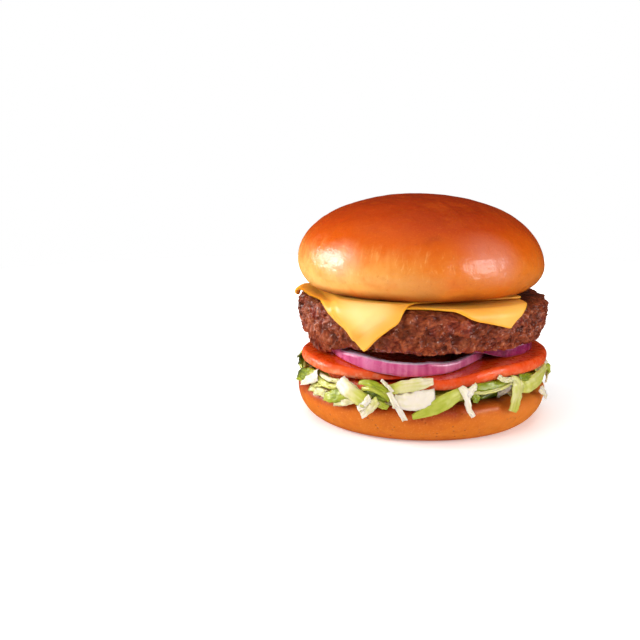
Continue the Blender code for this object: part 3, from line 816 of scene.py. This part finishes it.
def cheese_slice(name, node, size, layer, draw, material):
    """A sheet laid on the patty, or on the lower slice where that reaches under it."""
    side, _, corner = size
    along, across = slice_axes(size)
    steps = 0.5 - 0.5 * np.cos(np.linspace(0.0, math.pi, CHEESE_STEPS))
    steps = 0.35 * steps + 0.65 * np.linspace(0.0, 1.0, CHEESE_STEPS)
    s, t = np.meshgrid(steps, steps, indexing="ij")
    inset = 1.0 - 0.02 * np.abs((2 * s - 1) * (2 * t - 1)) ** 14
    a = side * (0.5 + (s - 0.5) * inset)
    b = side * (0.5 + (t - 0.5) * inset)
    a += draw[3] * s ** 3 * smoothstep(0.0, FLARE_END, t)
    b += draw[0] * smoothstep(draw[1], draw[2], s) * (1.0 - t) ** 3
    u = corner[0] + along[0] * a + across[0] * b
    v = corner[1] + along[1] * a + across[1] * b
    flat = np.stack([u, v, 0.0 * u], axis=-1)
    wobble = 0.0007 * field(flat, 70.0, 2, 3.3 + layer)
    u, v = u + wobble * along[0], v + wobble * across[1]
    reach = np.hypot(u, v)
    hang = smoothstep(*HANG_REACHES, reach)
    thick = CHEESE_THICKNESS + (FLAP_THICKNESS - CHEESE_THICKNESS) * hang
    shared = inside_lower(u, v)
    lift = layer * (thick + CHEESE_GAP) * smoothstep(-0.0045, -0.0005, shared) + thick / 2
    middle, over = drape(u, v, PATTY_TOP_Z + GAP, lift)
    normal = grid_normals(middle, wrap_columns=False)
    outward = middle * np.array([1.0, 1.0, 0.0])
    if ((normal * outward).sum(-1) * hang).sum() < 0:
        normal = -normal
    middle += normal * (0.00035 * field(middle, 110.0, 2) * smoothstep(0.0, 0.008, over))[..., None]
    edge = side * np.minimum(np.minimum(s, 1.0 - s), np.minimum(t, 1.0 - t))
    rounding = np.sqrt(1.0 - (1.0 - np.clip(edge / 0.0007, 0.0, 1.0)) ** 2)
    half = thick / 2 * np.maximum(rounding, 0.2)
    vertices, faces = closed_sheet(middle, normal, half)
    # Where the painted highlight lies: near the upper slice's front corner, on its hanging flap.
    pale = 0.75 * layer * smoothstep(0.0030, 0.0105, side * s) * smoothstep(0.0015, 0.0080, side * t)
    pale *= 1.0 - smoothstep(0.20, 0.36, s)
    cut = 0.7 * (1.0 - smoothstep(0.0003, 0.0010, edge))
    values = {"pale": both_faces(pale * hang), "cut": both_faces(cut)}
    make_piece(name, node, material, vertices, faces, values)


def cheese_slices():
    material = melted_cheese()
    cheese_slice("cheese_lower_sheet", "cheese_slice_lower", CHEESE_LOWER, 0, LOWER_DRAW, material)
    cheese_slice("cheese_upper_sheet", "cheese_slice_upper", CHEESE_UPPER, 1, UPPER_DRAW, material)


# Lettuce

def ceiling(x, y, margin):
    """Height of the lowest thing above the lettuce, with a margin round each slice."""
    height = np.full(np.shape(x), LETTUCE_TOP_Z - 0.002)
    for size, base in ((TOMATO_LEFT, tomato_left_base), (TOMATO_RIGHT, tomato_right_base)):
        under = np.hypot(x - size[0], y - size[1]) < size[2] + margin
        height = np.where(under, np.minimum(height, base(x, y)), height)
    return height - GAP


def spline(controls, count):
    """A smooth curve through control points."""
    controls = np.asarray(controls, float)
    padded = np.concatenate([[2 * controls[0] - controls[1]], controls, [2 * controls[-1] - controls[-2]]])
    places = np.linspace(0.0, len(controls) - 1, count)
    index = np.minimum(places.astype(int), len(controls) - 2)
    t = (places - index)[:, None]
    p0, p1, p2, p3 = (padded[index + k] for k in range(4))
    return 0.5 * (2 * p1 + (p2 - p0) * t + (2 * p0 - 5 * p1 + 4 * p2 - p3) * t ** 2
                  + (3 * p1 - p0 - 3 * p2 + p3) * t ** 3)


class Shreds:
    """Joined strips of leaf, with how green each point is and the fine lines along it."""

    def __init__(self):
        self.vertices, self.faces, self.green, self.veins = [], [], [], []
        self.count = 0

    def add(self, centre, width, normal, green, seed, thickness=0.0007, cup=0.15, ruffle=0.0004,
            rows=26, columns=9, taper=(0.95, 0.95), skew=0.2):
        """centre: control points; width and green: values along the strip; normal: what its face looks at."""
        centre = spline(centre, rows)
        t = np.linspace(0.0, 1.0, rows)
        spots = np.linspace(0.0, 1.0, len(np.atleast_1d(width)))
        breadth = np.interp(t, spots, np.atleast_1d(width))
        tips = np.interp(t, (0.0, 0.15, 0.80, 1.0), (taper[0], 1.0, 1.0, taper[1]))
        tangent = np.gradient(centre, axis=0)
        tangent /= np.linalg.norm(tangent, axis=1, keepdims=True)
        facing = np.asarray(normal, float)
        if facing.ndim == 1:
            facing = np.repeat(facing[None], rows, axis=0)
        else:
            spots_n = np.linspace(0.0, 1.0, len(facing))
            facing = np.column_stack([np.interp(t, spots_n, facing[:, k]) for k in range(3)])
        across = np.cross(facing, tangent)
        across /= np.maximum(np.linalg.norm(across, axis=1, keepdims=True), 1e-9)
        up = np.cross(tangent, across)
        v = np.linspace(-1.0, 1.0, columns)
        key = np.stack([np.repeat(t[:, None] * 3.1, columns, 1), np.repeat(v[None] * 0.9, rows, 0),
                        np.full((rows, columns), seed * 7.3)], axis=-1)
        edge = 1.0 + 0.12 * field(key * np.array([2.0, 1.0, 1.0]), 1.7, 2) * np.abs(v)[None]
        sway = ruffle * field(key, 1.9, 2, 11.0) * (0.3 + np.abs(v)[None]) * 2.0
        offset = (breadth * tips / 2)[:, None] * v[None] * edge
        bow = -cup * (breadth / 2)[:, None] * (v[None] ** 2)
        middle = centre[:, None] + across[:, None] * offset[..., None] + up[:, None] * (bow + sway)[..., None]
        middle += tangent[:, None] * (skew * offset)[..., None]
        face = grid_normals(middle, wrap_columns=False)
        rim = np.minimum(1.0 - np.abs(v), 0.25)[None] / 0.25 + 0.0 * t[:, None]
        ends = np.minimum(np.minimum(t, 1.0 - t), 0.05)[:, None] / 0.05
        half = thickness / 2 * np.maximum(np.sqrt(np.minimum(rim, ends)), 0.3)
        vertices, faces = closed_sheet(middle, face, half)
        lush = np.interp(t, np.linspace(0.0, 1.0, len(np.atleast_1d(green))), np.atleast_1d(green))
        lush = np.repeat(lush[:, None], columns, 1) + 0.10 * field(key, 1.3, 2, 29.0)
        lines = 0.5 + 0.5 * np.sin(v[None] * 11.0 + 2.0 * field(key, 1.2, 1, 5.0))
        self.vertices.append(vertices)
        self.faces.append(faces + self.count)
        self.count += len(vertices)
        self.green.append(both_faces(lush))
        self.veins.append(both_faces(lines))

    def piece(self, name, material):
        values = {"green": np.concatenate(self.green), "veins": np.concatenate(self.veins)}
        make_piece(name, "shredded_lettuce", material,
                   np.concatenate(self.vertices), np.concatenate(self.faces), values)


def on_rim(x, z, r):
    """A place on the front, given by x and z at a radius, in millimetres."""
    return np.array([x, -math.sqrt(r * r - x * x), z]) / 1000.0


def outward(point, lift=0.0):
    """A direction out of the burger's axis through a point, tilted up by lift."""
    direction = np.array([point[0], point[1], 0.0])
    direction /= np.linalg.norm(direction)
    return direction + np.array([0.0, 0.0, lift])


# Leaves that show at the front: path as (x, z, radius), widths, greenness, upward tilt of the face
FRONT_LEAVES = (
    # dark blade and yellow-green piece at the left
    (((-55, 21, 57.5), (-50, 23.5, 57.5), (-46, 24.5, 57)), (4.5, 6, 4), (0.95, 0.75), 0.5),
    (((-55.5, 19, 58), (-50, 22, 58), (-45, 25, 57.5)), (3, 5, 4), (0.75, 0.5), 0.3),
    # whitish triangle
    (((-52.5, 18.6, 59.2), (-48, 22.5, 59), (-44, 25.5, 58)), (1.8, 4.5, 5.5), (0.02, 0), 0.3),
    # pale bits under it
    (((-45.5, 17.5, 59), (-42.5, 18.8, 59.2), (-40, 18.4, 59)), (3, 3.6), (0.25, 0.3), 0.2),
    # olive and pale strips in the gap under the left slice
    (((-49, 21.8, 57.2), (-45.5, 20.4, 57.8), (-42, 21, 57.6)), (1.6, 2, 1.6), (0.35, 0.45), 0.3),
    (((-46, 24.2, 56.6), (-41.5, 22.6, 57.6), (-37.5, 22, 57.8), (-34, 23.2, 57.4)), (2, 2.8, 2.6, 2),
     (0.40, 0.52, 0.35), 0.5),
    (((-43, 25.4, 56.4), (-38.5, 24.6, 57), (-33, 25, 56.8)), (1.4, 2, 1.4), (0.15, 0.3), 0.6),
    # green leaf with a bright lower edge
    (((-40.8, 17, 59), (-37, 18.4, 59.4), (-33, 20, 59.4), (-30, 22.3, 58.6)),
     (3, 5.6, 6, 5), (0.55, 0.8, 0.5), 0.25),
    # cream ribbon: over the rim, then folded back down to the left
    (((-34, 25.2, 57.5), (-31, 23.6, 59.2), (-27.5, 21.6, 59.8), (-23.5, 19.6, 60), (-20.6, 18.8, 59.6)),
     (6.2, 6.6, 6.4, 5.6), (0.05, 0.1, 0.35, 0.5, 0.3), 0.35),
    (((-20, 21, 60.2), (-22.5, 18.2, 60.4), (-25.4, 15.4, 60.2)), (3.4, 3.2, 2.8), (0.02, 0), 0.1),
    # pale strip below them
    (((-36, 15.6, 59.2), (-31.5, 16.8, 59.4), (-27, 18.4, 59.2)), (2.6, 3, 2.4), (0.2, 0.28), 0),
    # strip down to the left
    (((-16.8, 20.2, 60), (-20, 17, 60.2), (-23.9, 12.6, 59.6)), (3.6, 4.2, 3), (0.35, 0.22, 0.05), 0.1),
    # green curls, bright along their edges
    (((-25, 26.2, 57.2), (-20, 26.8, 58.2), (-15.5, 25.4, 58.4), (-11, 23.8, 57.6)), (2.2, 3, 2.6),
     (0.60, 0.75, 0.6), 0.9),
    (((-24, 23.6, 57.6), (-19, 24.6, 58.6), (-14, 22.4, 58.6), (-12, 19.8, 58.2)), (1.6, 2.4, 2.6, 1.8),
     (0.50, 0.6, 0.75), 0.5),
    (((-23, 22.6, 57.4), (-18, 21.8, 58.2), (-13.5, 20.4, 58.2)), (3.6, 4.6, 3.4), (0.9, 1, 0.8), 0.1),
    (((-19, 19.6, 58.8), (-15.6, 18.2, 59.2), (-12.6, 17.2, 58.8)), (2.4, 3, 2.2), (0.55, 0.65), 0.2),
    (((-15.6, 28.4, 57.4), (-13.2, 26.6, 58.8), (-10.6, 24.2, 59.2)), (1, 1.2, 1), (0.05, 0.1), 0.4),
    # creamy leaf over the tomato
    (((-13.6, 24.4, 57.8), (-7, 26.4, 58.4), (0, 27.6, 57.8), (5.6, 28.6, 56.6)), (4.6, 5.4, 5.2, 3.2),
     (0.6, 0.3, 0.2, 0.15), 0.55),
    # straight white strip
    (((-12.4, 24, 59.6), (-9.2, 18.8, 60.3), (-5.4, 12.6, 59.8)), (2.2, 2.4, 2.3), (0, 0), 0),
    # broad white piece
    (((-10.4, 20.4, 59.4), (-5, 20.8, 59.9), (1, 21.6, 59.9), (6.4, 23, 59)), (5.6, 7.4, 8, 6.6),
     (0.03, 0, 0), 0.2),
    # long bright green leaf
    (((-2.6, 14.2, 59.8), (4, 17.4, 60.3), (10.8, 20.8, 59.6), (17, 23.8, 58.2)), (2.2, 5.2, 6.2, 5),
     (0.62, 0.6, 0.5), 0.15),
    # white strip with two arms
    (((16.6, 26.6, 58.6), (18.6, 24.6, 59.6), (19.6, 21, 60.2), (20.4, 17.2, 60.2), (22.4, 13.8, 59.6)),
     (2.4, 3.6, 2.6, 2.4, 2.2), (0.05, 0), 0.1),
    (((23.4, 26.8, 58.4), (21.4, 25.2, 59.6), (19.8, 22.6, 60.1)), (2.4, 3, 2.2), (0.1, 0), 0.1),
    # green bit behind
    (((22, 24, 58.4), (23.2, 21.6, 58.8), (23, 19.4, 58.6)), (3, 3.4, 2.6), (0.85, 0.8), 0),
    # olive leaf and the strand along its lower edge
    (((22.4, 25.6, 57.2), (28, 25.4, 58), (33, 25.8, 58), (38.6, 26.6, 57.4)), (3.6, 4.2, 4, 3.2),
     (0.8, 0.85, 0.7), 0.5),
    (((22, 23.6, 59), (27.5, 23.6, 59.4), (33, 24.2, 59.4), (38.4, 25.6, 58.8)), (1, 1.1, 1.2, 1),
     (0.42, 0.35), 0.3),
    # wide hanging ribbon with a short arm
    (((40.6, 27.8, 58.2), (41.2, 24.4, 59.8), (40.6, 19.6, 60.3), (39.2, 13.4, 59.6)), (6.6, 6.8, 6.2, 5.6),
     (0.38, 0.32, 0.38, 0.5), 0.15),
    (((32.2, 29.4, 58.2), (35, 27.8, 59.2), (39, 27.4, 59.4)), (2.6, 2, 2.2), (0.15, 0.25), 0.3),
    # greens at the right
    (((41.6, 27.2, 57.6), (46, 26.2, 57.8), (50.6, 25.2, 57)), (2.6, 3.4, 2.8), (0.88, 0.8), 0.6),
    (((43.2, 22.6, 58.6), (47.6, 23.4, 59.2), (51.8, 24.6, 59), (55.4, 27, 58)), (5, 6.4, 6, 3),
     (0.5, 0.42, 0.4), 0.2),
    (((52, 19.8, 59.4), (54.2, 16.8, 60), (55.8, 13.6, 59.4)), (3.2, 3, 2.6), (0.04, 0), 0),
)


def front_leaves(shreds):
    for index, (path, widths, green, lift) in enumerate(FRONT_LEAVES):
        points = [on_rim(*p) for p in path]
        facing = [outward(p, lift) for p in points]
        shreds.add(points, np.array(widths) / 1000.0, facing, green, index + 1.0)


def rim_leaves(shreds, rng):
    """Strips that hang or lie out round the sides and the back."""
    angle, end = RIM_ANGLES
    while angle < end:
        kind = rng.random()
        direction = np.array([math.cos(angle), math.sin(angle), 0.0])
        along = np.array([-direction[1], direction[0], 0.0])
        lean = rng.uniform(-0.5, 0.5)
        roof = float(ceiling(direction[0] * 0.055, direction[1] * 0.055, 0.012)) - 0.001
        top = min(roof, LETTUCE_BASE_Z + rng.uniform(0.003, 0.008))
        top -= RIM_LOWER * smoothstep(*RIM_LOWER_ANGLES, angle)
        if kind < 0.5:
            drop = rng.uniform(0.004, 0.011)
            low = top - drop
            heights = (top, top - 0.0005, top - 0.4 * drop, low)
            points = [direction * r + along * lean * 0.004 * k + np.array([0.0, 0.0, z])
                      for k, (r, z) in enumerate(zip(HANGING_RADII, heights))]
            widths = rng.uniform(0.0022, 0.0064) * np.array([0.9, 1.0, 0.9, 0.8])
            facing = [direction * 0.4 + np.array([0.0, 0.0, 1.0]), direction, direction, direction]
        else:
            length = rng.uniform(0.008, 0.020)
            tilt = rng.uniform(-0.5, 0.5)
            spread = np.linspace(-0.5, 0.5, 4)
            points = []
            for share in spread:
                turn = angle + share * length / 0.058
                spot = np.array([math.cos(turn), math.sin(turn), 0.0])
                points.append(spot * (LYING_RADIUS + 0.0010 * math.cos(3.0 * share))
                              + np.array([0.0, 0.0, max(0.0185, top - 0.0025 + tilt * share * 0.008)]))
            widths = rng.uniform(0.0030, 0.0066) * np.array([0.6, 1.0, 1.0, 0.6])
            facing = [direction + np.array([0.0, 0.0, rng.uniform(-0.1, 0.8)])]*4
        green = rng.choice((0.0, 0.1, 0.3, 0.45, 0.6, 0.8, 0.9))
        shreds.add(points, widths, facing, (green, green + rng.uniform(-0.2, 0.2)), rng.uniform(50.0, 90.0))
        angle += rng.uniform(0.055, 0.115)


def tangle(shreds, rng):
    """Short strips packed between the heel and the tomato, behind the leaves that hang out."""
    for index in range(PACKED_COUNT):
        angle = rng.uniform(0.0, 2 * math.pi)
        length = rng.uniform(0.006, 0.016)
        radius = rng.uniform(*PACKED_RADII)
        heading = rng.uniform(-0.9, 0.9)
        width = rng.uniform(0.0016, 0.0040)
        level = rng.random()
        points = []
        for share in (-0.5, -0.17, 0.17, 0.5):
            turn = angle + share * length * math.cos(heading) / radius
            r = min(LYING_RADIUS, radius + share * length * math.sin(heading) * 0.5)
            x, y = r * math.cos(turn), r * math.sin(turn)
            roof = float(ceiling(x, y, 0.012)) - 0.0010
            if x < LEFT_END_X:
                roof = min(roof, LEFT_END_TOP_Z)
            floor = LETTUCE_BASE_Z + 0.0008
            z = floor + (roof - floor) * min(1.0, max(0.0, level + 0.3 * share))
            points.append(np.array([x, y, max(z, floor)]))
        out = outward(points[1], rng.uniform(-0.4, 1.6))
        green = rng.choice((0.0, 0.2, 0.35, 0.5, 0.7, 0.95, 1.0))
        shreds.add(points, (width, width * 0.9), out, (green, green), index * 0.37 + 100.0,
                   rows=12, columns=5, ruffle=0.0003)


def lettuce_core(material):
    """The middle of the heap, hidden by the shreds round its rim."""
    rows = np.linspace(POLE, LETTUCE_CORE_RADIUS, 60)
    profile = np.concatenate([np.column_stack([rows, np.full(60, LETTUCE_TOP_Z)]),
                              [(LETTUCE_CORE_RADIUS, LETTUCE_BASE_Z + 0.001)],
                              [(LETTUCE_CORE_RADIUS, LETTUCE_BASE_Z)], [(POLE, LETTUCE_BASE_Z)]])
    points = turned(profile, CORE_SIDES)
    x, y, z = np.moveaxis(points, -1, 0)
    flat = points * np.array([1.0, 1.0, 0.0])
    roof = ceiling(x, y, 0.008) - 0.0004 - 0.0006 * (1.0 + field(flat, 300.0, 2))
    points[..., 2] = np.where(z > LETTUCE_TOP_Z - GAP, roof, z)
    green = 0.9 + 0.2 * field(points, 150.0, 2)
    plain_piece("lettuce_middle", "shredded_lettuce", material, points,
                {"green": green, "veins": 0.5 + 0.0 * green})


def lettuce():
    material = fresh_lettuce()
    rng = random.Random(SHRED_SEED)
    lettuce_core(material)
    packed = Shreds()
    tangle(packed, rng)
    packed.piece("lettuce_packed_shreds", material)
    hanging = Shreds()
    front_leaves(hanging)
    rim_leaves(hanging, rng)
    hanging.piece("lettuce_hanging_shreds", material)


# Studio

# Of each side: direction, aim, then size in metres and power in watts of its fill and of its shine
SIDE_LIGHTS = {
    "left": ((-0.975, 0.02, 0.235), (-0.040, -0.025, 0.075), (0.26, 0.20), 3.6, (0.30, 0.22), 5.6),
    "right": ((0.847, -0.482, 0.217), (0.015, -0.045, 0.075), (0.28, 0.24), 1.5, (0.32, 0.27), 3.8),
}
SIDE_LIGHT_DISTANCE = 0.60
MIDDLE = (0.0, 0.0, 0.06)


def soft_light(name, towards, distance, size, power, aim=MIDDLE, glossy=True, diffuse=True):
    """A soft box in a direction from what it is aimed at."""
    data = bpy.data.lights.new(name, "AREA")
    data.shape = "RECTANGLE"
    data.size, data.size_y = size
    data.energy = power
    light = bpy.data.objects.new(name, data)
    bpy.context.scene.collection.objects.link(light)
    direction = Vector(towards).normalized()
    light.location = Vector(aim) + direction * distance
    light.rotation_euler = direction.to_track_quat("Z", "Y").to_euler()
    light.visible_glossy = glossy
    light.visible_diffuse = diffuse


def studio():
    scene = bpy.context.scene
    scene.view_settings.view_transform = "Standard"
    for side, (towards, aim, box, box_power, shine, shine_power) in SIDE_LIGHTS.items():
        soft_light(side + " box", towards, SIDE_LIGHT_DISTANCE, box, box_power, aim, glossy=False)
        soft_light(side + " shine", towards, SIDE_LIGHT_DISTANCE, shine, shine_power, aim, diffuse=False)
    soft_light("front fill", (-0.30, -1.0, 0.80), 0.90, (0.8, 0.5), 4.0, glossy=False)
    soft_light("top fill", (0.0, 0.1, 1.0), 1.10, (1.4, 1.4), 9.0, glossy=False)
    world = bpy.data.worlds.new("studio")
    world.use_nodes = True
    scene.world = world
    tree = world.node_tree
    background = tree.nodes["Background"]
    background.inputs["Color"].default_value = (1.0, 1.0, 1.0, 1.0)
    rays = tree.nodes.new("ShaderNodeLightPath")
    dark = tree.nodes.new("ShaderNodeMapRange")
    dark.inputs["To Min"].default_value = 0.12
    dark.inputs["To Max"].default_value = 0.02
    tree.links.new(rays.outputs["Is Glossy Ray"], dark.inputs["Value"])
    level = tree.nodes.new("ShaderNodeMapRange")
    tree.links.new(dark.outputs["Result"], level.inputs["To Min"])
    level.inputs["To Max"].default_value = 1.0
    tree.links.new(rays.outputs["Is Camera Ray"], level.inputs["Value"])
    tree.links.new(level.outputs["Result"], background.inputs["Strength"])

    sides = 96
    turns = [2 * math.pi * k / sides for k in range(sides)]
    rim = [(FLOOR_RADIUS * math.cos(turn), FLOOR_RADIUS * math.sin(turn), 0.0) for turn in turns]
    mesh = bpy.data.meshes.new("floor")
    mesh.from_pydata(rim, [], [list(range(sides))])
    floor = bpy.data.objects.new("floor", mesh)
    scene.collection.objects.link(floor)
    floor.location.z = -0.0001
    s = Surface("glowing_pale_floor")
    away = s.reach()
    s.set(Base_Color=(0.9, 0.9, 0.9, 1.0), Roughness=0.9, Specular_IOR_Level=0.0)
    # The floor glows, weaker near the burger and stronger further out: painted light that keeps it white and
    # lights the burger from below.
    s.set(Emission_Color=(1.0, 1.0, 1.0, 1.0), Emission_Strength=s.remap(away, 0.12, 0.34, 0.30, 0.95))
    mesh.materials.append(s.material)
    floor.visible_glossy = False

    data = bpy.data.cameras.new("camera")
    data.lens = CAMERA_LENS
    data.clip_start = 0.01
    data.clip_end = 50.0
    camera = bpy.data.objects.new("camera", data)
    camera.location = CAMERA_PLACE
    camera.rotation_euler = CAMERA_TURN
    scene.collection.objects.link(camera)
    scene.camera = camera


crown()
heel()
tomato_slices()
onion_rings()
patty()
cheese_slices()
lettuce()
studio()
